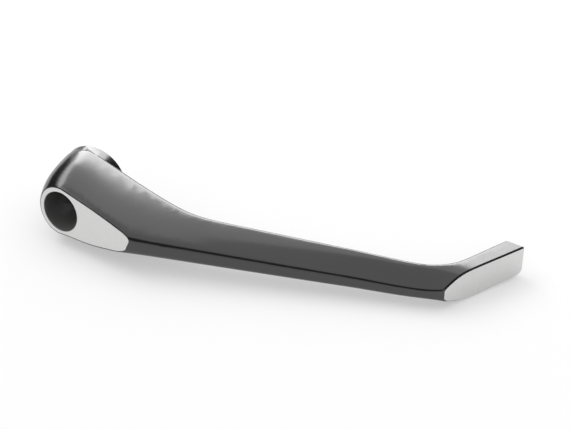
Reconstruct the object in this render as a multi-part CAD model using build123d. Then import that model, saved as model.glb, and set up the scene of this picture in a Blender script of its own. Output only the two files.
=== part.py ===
"""Brake lever guard: one milled aluminium arm for the end of a handlebar.

Frame: +Y along the bore towards the handlebar, +X along the arm, +Z up.
Origin: on the bore's axis, in the face that meets the bar end.
"""

import os
from math import atan2, cos, degrees, pi, radians, sin, sqrt, tan
from typing import NamedTuple

from build123d import *

# Boss, millimetres
BOSS_LENGTH = 30.5  # bar-end face to the middle of the outer cut
BOSS_DIAMETER = 30.0
COLLAR_DIAMETER = 29.4
COLLAR_STAND = 2.5  # how far the collar stands behind the arm's root
BORE_DIAMETER = 17.6
BOLT_HOLE_DIAMETER = 8.5
SHOULDER_THICKNESS = 10.0  # metal left under the bolt's head
BORE_CHAMFER = 0.3
EDGE_CHAMFER = 0.5  # on the bar-end face

# Flat cut across the boss
OUTER_CUT_TURN = 8.4  # from square to the bore, seen from above, degrees
OUTER_CUT_TILT = 8.6  # how far the face looks up, degrees
OUTER_CUT_DEPTH = 5.0  # metal milled off at the bore
OUTER_RIM_RADIUS = 0.8

# Arm in plan
FRONT_LEAD = 14.8  # front edge's line ahead of the cut's middle, at the bore's axis
FRONT_SWEEP = 14.3  # front edge against +X, degrees
NOSE_REACH = 164.0  # bore's axis to the nose, where the tip cut starts
ROOT_TAPER = 11.0  # back edge running in from the boss, degrees
WAIST_REACH = 54.0
WAIST_WIDTH = 17.9
BEND_LEAD = 13.0  # start of the bend to the nose
NECK_WIDTH = 9.7
PLAN_BLEND = 4.0

# Arm heights from the bore's axis
FRONT_HEIGHT_BOSS = 7.9  # at the front of the blank
FRONT_DEPTH_BOSS = 9.4  # below the axis, at the same place
FRONT_TOP_ROOT = 4.3  # upper front edge's line, carried back to the bore's axis
FRONT_TOP_NOSE = -8.4
FRONT_LOW_ROOT = -6.4  # lower front edge's line, carried back the same way
FRONT_LOW_NOSE = -12.7
FRONT_BELLY = 1.0  # dip of the lower front edge beside the boss
BELLY_REACH = 34.0
FRONT_FALL = 10.5  # upper front edge falling from the boss, degrees
FRONT_RISE = 4.5  # lower front edge rising from the boss, degrees
CREST_WAIST = 4.7
CREST_NECK = -0.7
BACK_HEIGHT_WAIST = 13.0
BACK_HEIGHT_NECK = 13.6
ROOT_FALL = 13.4  # upper back edge falling from the boss, degrees
ROOT_RISE = 16.0  # lower back edge rising from the boss, degrees
HEIGHT_BLEND = 4.0
FRONT_BLEND = 1.2

# Lean of the wide faces, degrees from level
BOSS_FRONT_LEAN = 25.0
UPPER_FRONT_LEAN_WAIST = 21.0
UPPER_FRONT_LEAN_NECK = 40.0
LOWER_FRONT_LEAN_WAIST = 12.0
LOWER_FRONT_LEAN_NECK = 20.0
UPPER_BACK_LEAN_NECK = 17.0
BOSS_BACK_PULL = 0.5  # how far each end's lean carries across, as a share of the width
BOSS_FRONT_PULL = 0.28
ARM_PULL = 0.33

# Rounded edges
FRONT_RADIUS_BOSS = 4.4
FRONT_RADIUS_NOSE = 2.4
BACK_RADIUS_BOSS = 2.5
BACK_RADIUS_NOSE = 1.3

# Tip
BEND_RADIUS = 23.5  # inside of the bend, in plan
BEND_EASE = 4  # how late in the bend the tip's shape comes in
TIP_HEADING = 59.0  # tip's back edge against +X, degrees
TIP_CUT_HEADING = 57.5
TIP_END = 32.4  # end of the tip, past the bar-end face
TIP_TOP = -0.9
TIP_HEIGHT = 16.0  # at the bend
TIP_RISE = 3.0  # lower face rising towards the end, degrees
TIP_BLANK_WIDTH = 14.0  # width before the tip cut
TIP_LEAN = 7.0  # upper face falling towards the cut, degrees
TIP_CORNER_RADIUS = 3.6  # lower corner of the end
TIP_CORNER_SINK = 0.7  # how far its circle dips under the lower face
TIP_CHAMFER = 0.6

BOSS_RADIUS = BOSS_DIAMETER / 2
NECK_REACH = NOSE_REACH - BEND_LEAD  # bore's axis to the start of the bend

# Where sections stand
ROOT_SHARES = (0, 0.05, 0.15, 0.3, 0.5, 0.7)  # from the bore's axis to the waist
ARM_STEPS = 5  # from the waist to the neck
BEND_STEPS = 4
TIP_STEPS = 4
BARREL_STEPS = 8  # from the arm's upper half round to its lower
BARREL_EASE = 3  # how late the lower half's shape comes in
SAME_PLANE = 0.001  # how near a face's middle is to the plane it lies in


class Side(NamedTuple):
    """Upper or lower half of a section: heights and leans at its two edges."""

    front: float
    back: float
    front_lean: float
    back_lean: float
    front_pull: float
    back_pull: float


class Section(NamedTuple):
    """One cross-section of the arm, upright, with its back edge's place in plan."""

    back: tuple
    heading: float
    width: float
    upper: Side
    lower: Side
    front_radius: float
    back_radius: float


def between(start, end, share):
    return start + (end - start) * share


def side_between(start, end, share):
    return Side(*(between(a, b, share) for a, b in zip(start, end)))


def higher(first, second, blend):
    """The higher of two lines, with their corner rounded off where they come within a blend."""
    near = max(blend - abs(first - second), 0)
    return max(first, second) + near**2 / (4 * blend)


def off_round(radius, fall, x):
    """Height of a circle about the bore, and of its falling tangent."""
    angle = radians(fall)
    if x < radius * sin(angle):
        return sqrt(radius**2 - x**2)
    return radius / cos(angle) - x * tan(angle)


def along_arm(x):
    return (x - WAIST_REACH) / (NECK_REACH - WAIST_REACH)


def front_line(x):
    return x * tan(radians(FRONT_SWEEP)) - FRONT_LEAD - BOSS_LENGTH


def front_y(x):
    before_cut = -BOSS_LENGTH - OUTER_CUT_DEPTH - x * tan(radians(OUTER_CUT_TURN))
    return higher(before_cut, front_line(x), PLAN_BLEND)


def back_y(x):
    root = -COLLAR_STAND - x * tan(radians(ROOT_TAPER))
    return higher(root, front_line(x) + between(WAIST_WIDTH, NECK_WIDTH, along_arm(x)), PLAN_BLEND)


def neck_heading():
    narrowing = (NECK_WIDTH - WAIST_WIDTH) / (NECK_REACH - WAIST_REACH)
    return degrees(atan2(tan(radians(FRONT_SWEEP)) + narrowing, 1))


def lean(x, waist, neck):
    """Front lean of a wide face: steep on the boss, least at the waist."""
    if x < WAIST_REACH:
        return between(waist, BOSS_FRONT_LEAN, (1 - x / WAIST_REACH) ** 2)
    return between(waist, neck, along_arm(x))


def crest(x, fall, waist, neck):
    return higher(off_round(BOSS_RADIUS, fall, x), between(waist, neck, along_arm(x)), HEIGHT_BLEND)


def front_edge(x, start, fall, root, nose):
    return higher(off_round(start, fall, x), between(root, nose, x / NOSE_REACH), FRONT_BLEND)


def arm_side(x, front, back, front_lean, back_lean):
    rooted = max(1 - x / WAIST_REACH, 0)
    return Side(
        front,
        back,
        front_lean,
        back_lean,
        between(ARM_PULL, BOSS_FRONT_PULL, rooted),
        between(ARM_PULL, BOSS_BACK_PULL, rooted),
    )


def arm_section(x):
    share = x / NECK_REACH
    front_top = front_edge(x, FRONT_HEIGHT_BOSS, FRONT_FALL, FRONT_TOP_ROOT, FRONT_TOP_NOSE)
    belly = FRONT_BELLY * sin(pi * min(x / BELLY_REACH, 1)) ** 2
    front_low = front_edge(x, FRONT_DEPTH_BOSS, FRONT_RISE, -FRONT_LOW_ROOT, -FRONT_LOW_NOSE)
    front_bottom = -front_low - belly
    back_top = crest(x, ROOT_FALL, CREST_WAIST, CREST_NECK)
    low_waist = BACK_HEIGHT_WAIST - CREST_WAIST
    low_neck = BACK_HEIGHT_NECK - CREST_NECK
    back_bottom = -crest(x, ROOT_RISE, low_waist, low_neck)
    upper_lean = lean(x, UPPER_FRONT_LEAN_WAIST, UPPER_FRONT_LEAN_NECK)
    lower_lean = lean(x, LOWER_FRONT_LEAN_WAIST, LOWER_FRONT_LEAN_NECK)
    return Section(
        back=(x, back_y(x)),
        heading=0,
        width=back_y(x) - front_y(x),
        upper=arm_side(x, front_top, back_top, upper_lean, UPPER_BACK_LEAN_NECK * share),
        lower=arm_side(x, front_bottom, back_bottom, lower_lean, 0),
        front_radius=between(FRONT_RADIUS_BOSS, FRONT_RADIUS_NOSE, share),
        back_radius=between(BACK_RADIUS_BOSS, BACK_RADIUS_NOSE, share),
    )


def bend_point(heading):
    """Back edge in plan where the bend has turned to a heading."""
    start = radians(neck_heading())
    centre_x = NECK_REACH - BEND_RADIUS * sin(start)
    centre_y = back_y(NECK_REACH) + BEND_RADIUS * cos(start)
    turn = radians(heading)
    return centre_x + BEND_RADIUS * sin(turn), centre_y - BEND_RADIUS * cos(turn)


def tip_run():
    """Length of the tip's back edge, from the bend to the end."""
    return (TIP_END - bend_point(TIP_HEADING)[1]) / sin(radians(TIP_HEADING))


def tip_low(run):
    """Lower face's height a run past the bend."""
    return TIP_TOP - TIP_HEIGHT + run * tan(radians(TIP_RISE))


def tip_lower_lean():
    """Lean that keeps the rising lower face level along the tip's end."""
    return -degrees(atan2(tan(radians(TIP_RISE)), tan(radians(TIP_HEADING))))


def flat_side(back, lean_angle, up):
    """A half of a tip section whose wide face is flat."""
    front = back - up * TIP_BLANK_WIDTH * tan(radians(lean_angle))
    return Side(front, back, lean_angle, lean_angle, ARM_PULL, ARM_PULL)


def tip_section(heading, share, run=0):
    """A section in the bend, or along the tip a run past the bend."""
    start = arm_section(NECK_REACH)
    point = bend_point(heading)
    turn = radians(heading)
    upper_tip = flat_side(TIP_TOP, TIP_LEAN, 1)
    lower_tip = flat_side(tip_low(run), tip_lower_lean(), -1)
    return Section(
        back=(point[0] + run * cos(turn), point[1] + run * sin(turn)),
        heading=heading,
        width=between(start.width, TIP_BLANK_WIDTH, share),
        upper=side_between(start.upper, upper_tip, share),
        lower=side_between(start.lower, lower_tip, share),
        front_radius=FRONT_RADIUS_NOSE,
        back_radius=BACK_RADIUS_NOSE,
    )


def corner(centre, radius, turn, outward, up):
    """A rounded corner that starts upright and turns inwards, as two equal arcs."""
    start, middle, end = (
        Vector(centre[0] + outward * radius * cos(angle), centre[1] + up * radius * sin(angle))
        for angle in (0, turn / 2, turn)
    )
    heading = (-outward * sin(turn / 2), up * cos(turn / 2))
    return [TangentArc(start, middle, tangent=(0, up)), TangentArc(middle, end, tangent=heading)]


def half_outline(side, width, front_radius, back_radius, up):
    """Front corner, wide face and back corner of one half, as tangent curves."""
    front = radians(side.front_lean)
    back = radians(side.back_lean)
    front_centre = (width - front_radius, side.front - up * front_radius * (1 - sin(front)) / cos(front))
    back_centre = (back_radius, side.back - up * back_radius)
    front_arcs = corner(front_centre, front_radius, pi / 2 - front, 1, up)
    back_arcs = corner(back_centre, back_radius, pi / 2 + back, -1, up)
    front_end = front_arcs[-1] @ 1
    back_end = back_arcs[-1] @ 1
    front_pull = Vector(-cos(front), up * sin(front)) * (width * side.front_pull)
    back_pull = Vector(cos(back), -up * sin(back)) * (width * side.back_pull)
    wide_face = Bezier(front_end, front_end + front_pull, back_end + back_pull, back_end)
    return [*front_arcs, wide_face, *back_arcs], front_arcs[0] @ 0, back_arcs[0] @ 0


def section_face(section):
    turn = radians(section.heading)
    plane = Plane(
        origin=(*section.back, 0),
        x_dir=(sin(turn), -cos(turn), 0),
        z_dir=(-cos(turn), -sin(turn), 0),
    )
    radii = section.front_radius, section.back_radius
    upper, upper_band, upper_wall = half_outline(section.upper, section.width, *radii, 1)
    lower, lower_band, lower_wall = half_outline(section.lower, section.width, *radii, -1)
    band = Line(lower_band, upper_band)
    wall = Line(upper_wall, lower_wall)
    return plane * make_face([band, *upper, wall, *lower])


def arm_sections():
    start = neck_heading()
    stations = [WAIST_REACH * share for share in ROOT_SHARES]
    stations += [between(WAIST_REACH, NECK_REACH, step / ARM_STEPS) for step in range(ARM_STEPS)]
    sections = [arm_section(x) for x in stations]
    for step in range(BEND_STEPS + 1):
        turned_share = step / BEND_STEPS
        shaped_share = sin(pi / 2 * turned_share) ** BEND_EASE
        sections.append(tip_section(between(start, TIP_HEADING, turned_share), shaped_share))
    run = tip_run() + TIP_BLANK_WIDTH
    for step in range(1, TIP_STEPS + 1):
        sections.append(tip_section(TIP_HEADING, 1, run * step / TIP_STEPS))
    return [section_face(section) for section in sections]


def outer_cut():
    """Plane of the flat cut across the boss, looking outwards."""
    turn = radians(OUTER_CUT_TURN)
    tilt = radians(OUTER_CUT_TILT)
    outward = (-sin(turn) * cos(tilt), -cos(turn) * cos(tilt), sin(tilt))
    return Plane(origin=(0, -BOSS_LENGTH, 0), z_dir=outward)


def tip_cut():
    """Upright plane of the flat cut along the tip, looking outwards."""
    turn = radians(TIP_CUT_HEADING)
    return Plane(origin=(NOSE_REACH, front_line(NOSE_REACH), 0), z_dir=(sin(turn), -cos(turn), 0))


def tip_end():
    return Plane(origin=(0, TIP_END, 0), z_dir=(0, 1, 0))


def tip_corner():
    """Metal below the end of the tip, outside its rounded lower corner."""
    side = 2 * TIP_CORNER_RADIUS
    low = tip_low(tip_run()) - TIP_CORNER_SINK
    middle = Pos(TIP_END - TIP_CORNER_RADIUS, low + TIP_CORNER_RADIUS)
    waste = Rectangle(side, side, align=(Align.MIN, Align.MAX)) - Circle(TIP_CORNER_RADIUS)
    return extrude(Plane.YZ.offset(NOSE_REACH) * middle * waste, BEND_LEAD + TIP_END)


def faces_on(body, plane):
    """Flat faces of a body that lie in a plane."""
    flat = body.faces().filter_by(GeomType.PLANE).filter_by(plane)
    return [face for face in flat if abs(plane.to_local_coords(face.center()).Z) < SAME_PLANE]


def rims(body, plane):
    """Outer edges of a body's faces in a plane."""
    return [edge for face in faces_on(body, plane) for edge in face.outer_wire().edges()]


def barrel_profile(turn):
    """The boss's profile at a turn about the bore, from the arm's upper half to its lower."""
    root = arm_section(0)
    lower = root.lower._replace(front=-root.lower.front, back=-root.lower.back)
    share = ((1 - cos(turn)) / 2) ** BARREL_EASE
    side = side_between(root.upper, lower, share)
    plane = Plane(origin=(*root.back, 0), x_dir=(0, -1, 0), z_dir=(-cos(turn), 0, -sin(turn)))
    edges, band_end, wall_end = half_outline(side, root.width, root.front_radius, root.back_radius, 1)
    inside = BOLT_HOLE_DIAMETER / 4
    inner = Polyline(wall_end, (0, inside), (root.width, inside), band_end)
    return plane * make_face([*edges, inner])


def barrel():
    """The boss's rounded outer half, easing from the arm's upper half round to its lower."""
    turns = [pi * step / BARREL_STEPS for step in range(-1, BARREL_STEPS + 2)]
    return split(loft([barrel_profile(turn) for turn in turns]), bisect_by=Plane.YZ, keep=Keep.BOTTOM)


def turned(diameter, start, end):
    """A cylinder along the bore."""
    length = end - start
    return Plane(origin=(0, start, 0), z_dir=(0, 1, 0)) * Cylinder(
        diameter / 2, length, align=(Align.CENTER, Align.CENTER, Align.MIN)
    )


def guard_arm():
    sections = arm_sections()
    body = loft(sections) + barrel()
    body = split(body, bisect_by=tip_end(), keep=Keep.BOTTOM)
    body = chamfer(rims(body, tip_end()), TIP_CHAMFER) - tip_corner()
    for plane in (outer_cut(), tip_cut()):
        body = split(body, bisect_by=plane, keep=Keep.BOTTOM)
    body = fillet(rims(body, outer_cut()), OUTER_RIM_RADIUS)
    body = chamfer(rims(body, tip_cut()), TIP_CHAMFER)
    collar_root = COLLAR_STAND + BOSS_RADIUS * tan(radians(ROOT_TAPER)) + BACK_RADIUS_BOSS
    body += turned(COLLAR_DIAMETER, -collar_root, 0)
    body -= turned(BORE_DIAMETER, -BOSS_LENGTH - FRONT_LEAD, -SHOULDER_THICKNESS)
    body -= turned(BOLT_HOLE_DIAMETER, -BOSS_LENGTH, 0)
    bar_end_face = faces_on(body, Plane.XZ)[0]
    body = chamfer(bar_end_face.edges(), EDGE_CHAMFER)
    cut_face = faces_on(body, outer_cut())[0]
    return chamfer(cut_face.inner_wires()[0].edges(), BORE_CHAMFER)


os.makedirs("parts", exist_ok=True)
export_step(guard_arm(), "parts/guard_arm.step")
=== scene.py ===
"""Brake lever guard: satin black arm with two bare cut faces, on a white table."""

from math import atan2, cos, degrees, hypot, pi, radians, sin, tan

import bmesh
import bpy
from bpy.props import FloatProperty, FloatVectorProperty, PointerProperty
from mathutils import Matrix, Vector

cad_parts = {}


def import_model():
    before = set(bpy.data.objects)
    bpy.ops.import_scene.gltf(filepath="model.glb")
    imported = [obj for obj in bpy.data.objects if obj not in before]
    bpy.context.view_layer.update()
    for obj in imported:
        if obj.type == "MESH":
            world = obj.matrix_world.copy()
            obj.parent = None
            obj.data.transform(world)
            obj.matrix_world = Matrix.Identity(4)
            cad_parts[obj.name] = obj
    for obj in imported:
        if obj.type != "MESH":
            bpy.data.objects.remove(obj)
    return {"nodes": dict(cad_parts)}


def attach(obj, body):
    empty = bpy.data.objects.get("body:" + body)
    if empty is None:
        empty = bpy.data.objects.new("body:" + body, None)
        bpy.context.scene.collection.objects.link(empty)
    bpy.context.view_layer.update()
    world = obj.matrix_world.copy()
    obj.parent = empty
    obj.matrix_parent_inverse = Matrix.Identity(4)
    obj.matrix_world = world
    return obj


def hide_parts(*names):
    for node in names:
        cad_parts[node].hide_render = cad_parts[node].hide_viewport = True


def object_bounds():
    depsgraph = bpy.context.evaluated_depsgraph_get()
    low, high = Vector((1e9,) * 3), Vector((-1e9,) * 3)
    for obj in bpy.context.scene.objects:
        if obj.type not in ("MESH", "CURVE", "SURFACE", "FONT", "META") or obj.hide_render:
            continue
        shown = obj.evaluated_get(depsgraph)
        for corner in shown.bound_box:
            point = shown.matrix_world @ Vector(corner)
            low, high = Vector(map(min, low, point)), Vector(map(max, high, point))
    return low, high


bl_info = {
    "name": "Brake lever guard",
    "version": (1, 0, 0),
    "blender": (4, 5, 0),
    "location": "View3D > Sidebar > Guard",
    "description": "Dresses the milled lever guard and sets its studio",
    "category": "Object",
}

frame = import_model()
CAD_LOW, CAD_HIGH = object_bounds()

NODE = "guard_arm"
PIECE = "lever_guard"
MILLIMETRE = 0.001

# Material slots of the arm
BLACK, BARE_BOSS, BARE_TIP, BORE = range(4)

# Grain of the finishes
NOISE_LOW, NOISE_HIGH = 0.3, 0.7  # nearly all of a noise's values lie between these
FEW_LAYERS, MORE_LAYERS = 2.0, 3.0  # layers of finer noise in a noise
EVEN_LAYERS, STRONG_LAYERS = 0.5, 0.6  # how strong each finer layer is
GRAIN_HEIGHT = 0.01 * MILLIMETRE
DYE_CLOUDS = 60  # repeats to the metre of the soft clouds in the dye
DYE_SHADE = 0.3  # share by which the clouds darken the dye
DYE_SATIN_SPREAD = 0.03
DYE_GRAIN_STRENGTH = 0.25
CUT_SHADE = 0.12  # share by which the cutter's lines darken the bare metal
CUT_SHEEN_SPREAD = 0.06
CUT_GRAIN_STRENGTH = 0.2
GRAINS_PER_STROKE = 2
ALONG_ARM, UPRIGHT = 0, 2  # axes that the cutter's lines follow

# Stage
WHITE = (1, 1, 1, 1)
DOWN = Vector((0, 0, -1))
TABLE_ROUGHNESS = 0.8
TABLE_GLOSS = 0.1
CARD_SIDES = 180  # sides of the ring of cards
CARD_COLOUR = (0.02, 0.02, 0.02, 1)
NEAR_CLIP, FAR_CLIP = 0.01, 20

# Dark cards in degrees: bearing from straight behind towards the arm's reach, and height seen from the part
CARDS = (
    (-180, 33),
    (-110, 44),
    (-57, 28),
    (-50, 24),
    (-49, 0),
    (22, 0),
    (24, 46),
    (75, 46),
    (88, 28),
    (180, 33),
)


class GuardForm(bpy.types.PropertyGroup):
    """Sizes that turn the arm's triangles into a smooth skin with marked cuts."""

    weld_distance: FloatProperty(
        name="Weld distance",
        description="Corners of neighbouring triangles this near become one",
        default=0.002 * MILLIMETRE,
        precision=6,
        subtype="DISTANCE",
    )
    crease_angle: FloatProperty(
        name="Crease angle",
        description="Edges that turn more than this stay crisp",
        default=radians(26),
        subtype="ANGLE",
    )
    flatness: FloatProperty(
        name="Flatness",
        description="How near to a cut's plane its face lies",
        default=0.005 * MILLIMETRE,
        precision=6,
        subtype="DISTANCE",
    )
    boss_cut_turn: FloatProperty(
        name="Boss cut turn",
        description="Bare boss face from square to the bore, seen from above",
        default=radians(8.4),
        subtype="ANGLE",
    )
    boss_cut_tilt: FloatProperty(
        name="Boss cut tilt",
        description="How far the bare boss face looks up",
        default=radians(8.6),
        subtype="ANGLE",
    )
    tip_cut_heading: FloatProperty(
        name="Tip cut heading",
        description="Bare tip face against the arm's reach, seen from above",
        default=radians(57.5),
        subtype="ANGLE",
    )
    bore_radius: FloatProperty(
        name="Bore radius",
        description="Outer bore with its chamfer, round the frame's Y axis",
        default=9.2 * MILLIMETRE,
        precision=6,
        subtype="DISTANCE",
    )


class GuardFinish(bpy.types.PropertyGroup):
    """Colours and grain of the black and bare metal."""

    black_colour: FloatVectorProperty(
        name="Black",
        description="Dyed oxide layer",
        default=(0.012, 0.012, 0.0125),
        subtype="COLOR",
    )
    black_roughness: FloatProperty(
        name="Black roughness",
        description="Satin of the dyed layer",
        default=0.2,
        subtype="FACTOR",
    )
    black_index: FloatProperty(
        name="Black index",
        description="Refractive index of the sealed oxide",
        default=1.7,
    )
    # Painted light: the lighter colour inside the bore stands in for the light reflected in the bore.
    bore_painted_light_colour: FloatVectorProperty(
        name="Bore",
        description="Thinner dye inside the bore",
        default=(0.13, 0.13, 0.128),
        subtype="COLOR",
    )
    bore_roughness: FloatProperty(
        name="Bore roughness",
        description="Satin of the bored wall",
        default=0.35,
        subtype="FACTOR",
    )
    bare_colour: FloatVectorProperty(
        name="Bare metal",
        description="Freshly milled aluminium",
        default=(0.73, 0.73, 0.726),
        subtype="COLOR",
    )
    bare_roughness: FloatProperty(
        name="Bare roughness",
        description="Sheen of the milled faces",
        default=0.32,
        subtype="FACTOR",
    )
    grain_size: FloatProperty(
        name="Grain size",
        description="Size of the blasted grain under the black",
        default=0.25 * MILLIMETRE,
        precision=6,
        subtype="DISTANCE",
    )
    stroke_width: FloatProperty(
        name="Stroke width",
        description="Spacing of the cutter's fine lines on the bare faces",
        default=0.3 * MILLIMETRE,
        precision=6,
        subtype="DISTANCE",
    )
    stroke_length: FloatProperty(
        name="Stroke length",
        description="Length of the cutter's fine lines on the bare faces",
        default=12 * MILLIMETRE,
        precision=6,
        subtype="DISTANCE",
    )


class GuardStudio(bpy.types.PropertyGroup):
    """Camera, table and lamps."""

    camera_place: FloatVectorProperty(
        name="Camera",
        description="Where the camera stands",
        default=(0.3205, -0.4905, 0.4147),
        subtype="TRANSLATION",
        unit="LENGTH",
    )
    camera_aim: FloatVectorProperty(
        name="Aim",
        description="Point in the middle of the picture",
        default=(0.0795, 0.0263, -0.0150),
        subtype="TRANSLATION",
        unit="LENGTH",
    )
    field_of_view: FloatProperty(
        name="Field of view",
        description="Angle across the picture's width",
        default=radians(20),
        subtype="ANGLE",
    )
    table_size: FloatProperty(
        name="Table size",
        description="Side of the white table",
        default=6.0,
        subtype="DISTANCE",
    )
    table_colour: FloatVectorProperty(
        name="Table",
        description="White of the table",
        default=(0.92, 0.92, 0.92),
        subtype="COLOR",
    )
    table_glow: FloatProperty(
        name="Table glow",
        description="Share of the table that is plain white to the eye, the rest takes the shadow",
        default=0.4,
        subtype="FACTOR",
    )
    sky_light: FloatProperty(
        name="Sky light",
        description="Even light from all round",
        default=0.7,
    )
    back_place: FloatVectorProperty(
        name="Back panel",
        description="Middle of the upright panel behind the part",
        default=(-0.25, 0.703, 0.582),
        subtype="TRANSLATION",
        unit="LENGTH",
    )
    back_size: FloatVectorProperty(
        name="Back size",
        description="Width and height of the back panel",
        default=(1.056, 0.634),
        size=2,
        unit="LENGTH",
    )
    back_bearing: FloatProperty(
        name="Back bearing",
        description="Bearing the back panel is square to, from straight behind towards the arm's reach",
        default=radians(8),
        subtype="ANGLE",
    )
    back_radiance: FloatProperty(
        name="Back brightness",
        description="Brightness of the back panel's face, white being 1",
        default=7.0,
    )
    side_place: FloatVectorProperty(
        name="Side panel",
        description="Middle of the upright panel beside the boss",
        default=(-0.85, 0.296, 1.254),
        subtype="TRANSLATION",
        unit="LENGTH",
    )
    side_size: FloatVectorProperty(
        name="Side size",
        description="Width and height of the side panel",
        default=(1.69, 0.98),
        size=2,
        unit="LENGTH",
    )
    side_bearing: FloatProperty(
        name="Side bearing",
        description="Bearing the side panel is square to, from straight behind towards the arm's reach",
        default=radians(-110),
        subtype="ANGLE",
    )
    side_radiance: FloatProperty(
        name="Side brightness",
        description="Brightness of the side panel's face, white being 1",
        default=3.0,
    )
    top_place: FloatVectorProperty(
        name="Top panel",
        description="Middle of the level panel overhead",
        default=(0.05, 0.42, 1.0),
        subtype="TRANSLATION",
        unit="LENGTH",
    )
    top_size: FloatVectorProperty(
        name="Top size",
        description="Width and depth of the top panel",
        default=(1.8, 0.8),
        size=2,
        unit="LENGTH",
    )
    top_radiance: FloatProperty(
        name="Top brightness",
        description="Brightness of the top panel's face, white being 1",
        default=0.7,
    )
    card_radius: FloatProperty(
        name="Card radius",
        description="Ring of dark cards that the gloss sees round the part",
        default=1.6,
        subtype="DISTANCE",
    )


def add_node(tree, kind, **inputs):
    """A shader node with values on its sockets, named with underscores for spaces."""
    made = tree.nodes.new(kind)
    for name, value in inputs.items():
        made.inputs[name.replace("_", " ")].default_value = value
    return made


def new_material(name):
    """An empty node material with its surface shader."""
    material = bpy.data.materials.new(name)
    material.use_nodes = True
    tree = material.node_tree
    tree.nodes.clear()
    shader = tree.nodes.new("ShaderNodeBsdfPrincipled")
    output = tree.nodes.new("ShaderNodeOutputMaterial")
    tree.links.new(shader.outputs["BSDF"], output.inputs["Surface"])
    return material, tree, shader


def object_noise(tree, scale, detail, roughness=EVEN_LAYERS):
    """Noise on the piece's own coordinates; scale is a vector of repeats per metre."""
    place = tree.nodes.new("ShaderNodeTexCoord")
    mapping = add_node(tree, "ShaderNodeMapping", Scale=scale)
    noise = add_node(tree, "ShaderNodeTexNoise", Scale=1.0, Detail=detail, Roughness=roughness)
    tree.links.new(place.outputs["Object"], mapping.inputs["Vector"])
    tree.links.new(mapping.outputs["Vector"], noise.inputs["Vector"])
    return noise.outputs["Fac"]


def spread(tree, value, low, high):
    """A noise value stretched between two numbers."""
    ranged = add_node(tree, "ShaderNodeMapRange", From_Min=NOISE_LOW, From_Max=NOISE_HIGH)
    ranged.inputs["To Min"].default_value = low
    ranged.inputs["To Max"].default_value = high
    tree.links.new(value, ranged.inputs["Value"])
    return ranged.outputs["Result"]


def tinted(tree, value, colour, depth):
    """A colour that a noise value darkens by up to a share."""
    mix = tree.nodes.new("ShaderNodeMix")
    mix.data_type = "RGBA"
    mix.inputs["A"].default_value = (*(channel * (1 - depth) for channel in colour), 1)
    mix.inputs["B"].default_value = (*colour, 1)
    tree.links.new(value, mix.inputs["Factor"])
    return mix.outputs["Result"]


def raised(tree, value, strength):
    """A bump as high as the grain from a noise value."""
    bump = add_node(tree, "ShaderNodeBump", Strength=strength, Distance=GRAIN_HEIGHT)
    tree.links.new(value, bump.inputs["Height"])
    return bump.outputs["Normal"]


def oxide_dye_and_painted_light(name, finish, colour, satin):
    """Sealed oxide over a finely blasted surface: dyed black on the arm; inside the bore its lighter colour
    is painted light.
    """
    material, tree, shader = new_material(name)
    shader.inputs["IOR"].default_value = finish.black_index
    grain = 1 / finish.grain_size
    fine = object_noise(tree, (grain,) * 3, FEW_LAYERS)
    cloud = object_noise(tree, (DYE_CLOUDS,) * 3, MORE_LAYERS)
    roughness = spread(tree, cloud, satin - DYE_SATIN_SPREAD, satin + DYE_SATIN_SPREAD)
    tree.links.new(tinted(tree, cloud, colour, DYE_SHADE), shader.inputs["Base Color"])
    tree.links.new(roughness, shader.inputs["Roughness"])
    tree.links.new(raised(tree, fine, DYE_GRAIN_STRENGTH), shader.inputs["Normal"])
    return material


def bare_metal(name, finish, stroke_axis):
    """Milled aluminium with fine lines along one axis."""
    material, tree, shader = new_material(name)
    shader.inputs["Metallic"].default_value = 1.0
    across = 1 / finish.stroke_width
    scale = [across] * 3
    scale[stroke_axis] = 1 / finish.stroke_length
    strokes = object_noise(tree, scale, MORE_LAYERS, STRONG_LAYERS)
    grain = object_noise(tree, (across * GRAINS_PER_STROKE,) * 3, FEW_LAYERS)
    sheen = finish.bare_roughness
    roughness = spread(tree, strokes, sheen - CUT_SHEEN_SPREAD, sheen + CUT_SHEEN_SPREAD)
    tree.links.new(tinted(tree, strokes, finish.bare_colour, CUT_SHADE), shader.inputs["Base Color"])
    tree.links.new(roughness, shader.inputs["Roughness"])
    tree.links.new(raised(tree, grain, CUT_GRAIN_STRENGTH), shader.inputs["Normal"])
    return material


def boss_cut_outward(form):
    """Direction that the bare boss face looks in."""
    turn, tilt = form.boss_cut_turn, form.boss_cut_tilt
    return Vector((-sin(turn) * cos(tilt), -cos(turn) * cos(tilt), sin(tilt)))


def tip_cut_outward(form):
    """Direction that the bare tip face looks in."""
    return Vector((sin(form.tip_cut_heading), -cos(form.tip_cut_heading), 0))


def mark_cut(skin, outward, flatness, slot):
    """Gives a slot to the flat face that lies furthest out along a direction."""
    reach = max(vert.co.dot(outward) for vert in skin.verts)

    def on_cut(face):
        return all(reach - vert.co.dot(outward) < flatness for vert in face.verts)

    cut = [face for face in skin.faces if on_cut(face)]
    if not cut:
        raise RuntimeError(f"no flat face looks along {tuple(outward)}")
    for face in cut:
        face.material_index = slot


def mark_bore(skin, radius):
    """Gives the bore's slot to the faces that lie wholly inside it."""
    for face in skin.faces:
        inside = all(hypot(vert.co.x, vert.co.z) < radius for vert in face.verts)
        if inside and face.material_index == BLACK:
            face.material_index = BORE


def crease(skin, angle):
    """Smooth faces, with crisp edges where they turn sharply or the finish changes."""
    for face in skin.faces:
        face.smooth = True
    for edge in skin.edges:
        first, second = edge.link_faces
        same_finish = first.material_index == second.material_index
        edge.smooth = same_finish and edge.calc_face_angle() < angle


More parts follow.
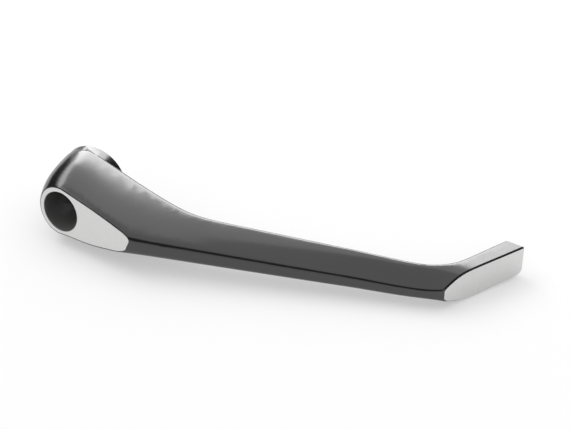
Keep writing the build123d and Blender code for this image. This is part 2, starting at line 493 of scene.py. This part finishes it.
def add_finishes(mesh, finish):
    """Materials in the order of the arm's slots."""
    for material in (
        oxide_dye_and_painted_light("satin_black", finish, finish.black_colour, finish.black_roughness),
        bare_metal("bare_boss_face", finish, ALONG_ARM),
        bare_metal("bare_tip_face", finish, UPRIGHT),
        # Painted light: the bore wall is coloured lighter to stand in for the light reflected inside the
        # bore.
        oxide_dye_and_painted_light("bore_painted_light", finish, finish.bore_painted_light_colour, finish.bore_roughness),
    ):
        mesh.materials.append(material)


def arm_piece(form, finish):
    """The arm as one welded skin with its bare faces marked."""
    skin = bmesh.new()
    skin.from_mesh(frame["nodes"][NODE].data)
    bmesh.ops.remove_doubles(skin, verts=skin.verts, dist=form.weld_distance)
    for face in skin.faces:
        face.material_index = BLACK
    mark_cut(skin, boss_cut_outward(form), form.flatness, BARE_BOSS)
    mark_cut(skin, tip_cut_outward(form), form.flatness, BARE_TIP)
    mark_bore(skin, form.bore_radius)
    crease(skin, form.crease_angle)
    mesh = bpy.data.meshes.new(PIECE)
    skin.to_mesh(mesh)
    skin.free()
    add_finishes(mesh, finish)
    piece = bpy.data.objects.new(PIECE, mesh)
    bpy.context.scene.collection.objects.link(piece)
    return piece


class GUARD_OT_arm(bpy.types.Operator):
    """Make the arm's smooth skin with its black and bare finish"""

    bl_idname = "guard.arm"
    bl_label = "Guard arm"

    def execute(self, context):
        piece = arm_piece(context.scene.guard_form, context.scene.guard_finish)
        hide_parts(NODE)
        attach(piece, "root")
        return {"FINISHED"}


def seen_by_eye(tree):
    """1 for what the camera, a gloss or a clear piece sees, else 0."""
    path = tree.nodes.new("ShaderNodeLightPath")
    seen = path.outputs["Is Camera Ray"]
    for name in ("Is Glossy Ray", "Is Transmission Ray"):
        either = tree.nodes.new("ShaderNodeMath")
        either.operation = "MAXIMUM"
        tree.links.new(seen, either.inputs[0])
        tree.links.new(path.outputs[name], either.inputs[1])
        seen = either.outputs["Value"]
    return seen


def stage_piece(name, form, material):
    """A stage mesh from a bmesh, with its material."""
    mesh = bpy.data.meshes.new(name)
    form.to_mesh(mesh)
    form.free()
    mesh.materials.append(material)
    piece = bpy.data.objects.new(name, mesh)
    bpy.context.scene.collection.objects.link(piece)
    return piece


def white_table(studio):
    """White that takes the shadow, part of it plain white to the eye."""
    material, tree, shader = new_material("white_table")
    shader.inputs["Base Color"].default_value = (*studio.table_colour, 1)
    shader.inputs["Roughness"].default_value = TABLE_ROUGHNESS
    shader.inputs["Specular IOR Level"].default_value = TABLE_GLOSS
    output = tree.nodes["Material Output"]
    glow = add_node(tree, "ShaderNodeEmission", Color=WHITE, Strength=1.0)
    share = tree.nodes.new("ShaderNodeMath")
    share.operation = "MULTIPLY"
    share.inputs[1].default_value = studio.table_glow
    mix = tree.nodes.new("ShaderNodeMixShader")
    tree.links.new(seen_by_eye(tree), share.inputs[0])
    tree.links.new(share.outputs["Value"], mix.inputs["Fac"])
    tree.links.new(shader.outputs["BSDF"], mix.inputs[1])
    tree.links.new(glow.outputs["Emission"], mix.inputs[2])
    tree.links.new(mix.outputs["Shader"], output.inputs["Surface"])
    return material


def table(studio):
    """White table under the part, as low as the part reaches."""
    top = bmesh.new()
    bmesh.ops.create_grid(top, x_segments=1, y_segments=1, size=studio.table_size / 2)
    bmesh.ops.translate(top, verts=top.verts, vec=(0, 0, CAD_LOW.z))
    stage_piece("table", top, white_table(studio))


def world(studio):
    """White all round for the eye, dimmer as a light."""
    made = bpy.data.worlds.new("studio")
    bpy.context.scene.world = made
    made.use_nodes = True
    tree = made.node_tree
    tree.nodes.clear()
    sky = add_node(tree, "ShaderNodeBackground", Color=WHITE, Strength=studio.sky_light)
    eye = add_node(tree, "ShaderNodeBackground", Color=WHITE, Strength=1.0)
    mix = tree.nodes.new("ShaderNodeMixShader")
    output = tree.nodes.new("ShaderNodeOutputWorld")
    tree.links.new(seen_by_eye(tree), mix.inputs["Fac"])
    tree.links.new(sky.outputs["Background"], mix.inputs[1])
    tree.links.new(eye.outputs["Background"], mix.inputs[2])
    tree.links.new(mix.outputs["Shader"], output.inputs["Surface"])


def card_height(bearing):
    """Height of the dark cards at a bearing, both in degrees."""
    for (left, low), (right, high) in zip(CARDS, CARDS[1:]):
        if left <= bearing <= right:
            return low + (high - low) * (bearing - left) / (right - left)
    raise ValueError(f"no dark card at {bearing} degrees")


def dark_cards(studio):
    """Ring of dark cards round the part, seen by the gloss alone."""
    ring = bmesh.new()
    foot = bmesh.ops.create_circle(ring, radius=studio.card_radius, segments=CARD_SIDES)["verts"]
    grown = bmesh.ops.extrude_edge_only(ring, edges=ring.edges)["geom"]
    for vert in (part for part in grown if isinstance(part, bmesh.types.BMVert)):
        height = card_height(degrees(atan2(vert.co.x, vert.co.y)))
        vert.co.z = studio.card_radius * tan(radians(height))
    bmesh.ops.translate(ring, verts=foot, vec=(0, 0, CAD_LOW.z))
    material, _, shader = new_material("dark_card")
    shader.inputs["Base Color"].default_value = CARD_COLOUR
    shader.inputs["Roughness"].default_value = 1.0
    piece = stage_piece("dark_cards", ring, material)
    piece.visible_camera = False
    piece.visible_diffuse = False
    piece.visible_shadow = False


def face_along(made, direction):
    """Turns a lamp or camera to look along a direction."""
    made.rotation_euler = direction.to_track_quat("-Z", "Y").to_euler()


def panel(name, place, direction, size, radiance, gloss_only=False):
    """A soft rectangular lamp that shines along a direction, on everything or in the gloss alone."""
    lamp = bpy.data.lights.new(name, "AREA")
    lamp.shape = "RECTANGLE"
    lamp.size, lamp.size_y = size
    lamp.energy = radiance * pi * size[0] * size[1]
    made = bpy.data.objects.new(name, lamp)
    made.visible_camera = False
    made.visible_diffuse = not gloss_only
    made.location = place
    face_along(made, direction)
    bpy.context.scene.collection.objects.link(made)


def from_bearing(bearing):
    """Level direction that comes in from a bearing."""
    return Vector((-sin(bearing), -cos(bearing), 0))


def lamps(studio):
    """Bright panel behind, softer ones beside the boss and overhead."""
    back, side = from_bearing(studio.back_bearing), from_bearing(studio.side_bearing)
    panel("back_panel", studio.back_place, back, studio.back_size, studio.back_radiance, gloss_only=True)
    panel("side_panel", studio.side_place, side, studio.side_size, studio.side_radiance)
    panel("top_panel", studio.top_place, DOWN, studio.top_size, studio.top_radiance)


def camera(studio):
    """Camera at the photograph's viewing angle."""
    made = bpy.data.cameras.new("photo_view")
    made.sensor_fit = "HORIZONTAL"
    made.lens = made.sensor_width / 2 / tan(studio.field_of_view / 2)
    made.clip_start = NEAR_CLIP
    made.clip_end = FAR_CLIP
    piece = bpy.data.objects.new("photo_view", made)
    piece.location = studio.camera_place
    face_along(piece, Vector(studio.camera_aim) - Vector(studio.camera_place))
    bpy.context.scene.collection.objects.link(piece)
    bpy.context.scene.camera = piece


class GUARD_OT_stage(bpy.types.Operator):
    """Set the table, the white surround, the dark cards, the lamps and the camera"""

    bl_idname = "guard.stage"
    bl_label = "Stage"

    def execute(self, context):
        studio = context.scene.guard_studio
        context.scene.view_settings.view_transform = "Standard"
        table(studio)
        world(studio)
        dark_cards(studio)
        lamps(studio)
        camera(studio)
        return {"FINISHED"}


class GUARD_PT_sidebar(bpy.types.Panel):
    """Sizes, finish and studio of the guard"""

    bl_idname = "GUARD_PT_sidebar"
    bl_label = "Lever guard"
    bl_space_type = "VIEW_3D"
    bl_region_type = "UI"
    bl_category = "Guard"

    def draw(self, context):
        for group, operator in (
            ("guard_form", None),
            ("guard_finish", GUARD_OT_arm),
            ("guard_studio", GUARD_OT_stage),
        ):
            settings = getattr(context.scene, group)
            box = self.layout.box()
            for name in settings.__annotations__:
                box.prop(settings, name)
            if operator:
                box.operator(operator.bl_idname)


GROUPS = {"guard_form": GuardForm, "guard_finish": GuardFinish, "guard_studio": GuardStudio}
CLASSES = (*GROUPS.values(), GUARD_OT_arm, GUARD_OT_stage, GUARD_PT_sidebar)


def register():
    """Adds the classes, and the settings to the scene."""
    for made in CLASSES:
        bpy.utils.register_class(made)
    for name, group in GROUPS.items():
        setattr(bpy.types.Scene, name, PointerProperty(type=group))


def unregister():
    """Takes the settings and the classes away again."""
    for name in GROUPS:
        delattr(bpy.types.Scene, name)
    for made in reversed(CLASSES):
        bpy.utils.unregister_class(made)


def main():
    """Makes the arm and the stage."""
    register()
    bpy.ops.guard.arm()
    bpy.ops.guard.stage()


if __name__ == "__main__":
    main()
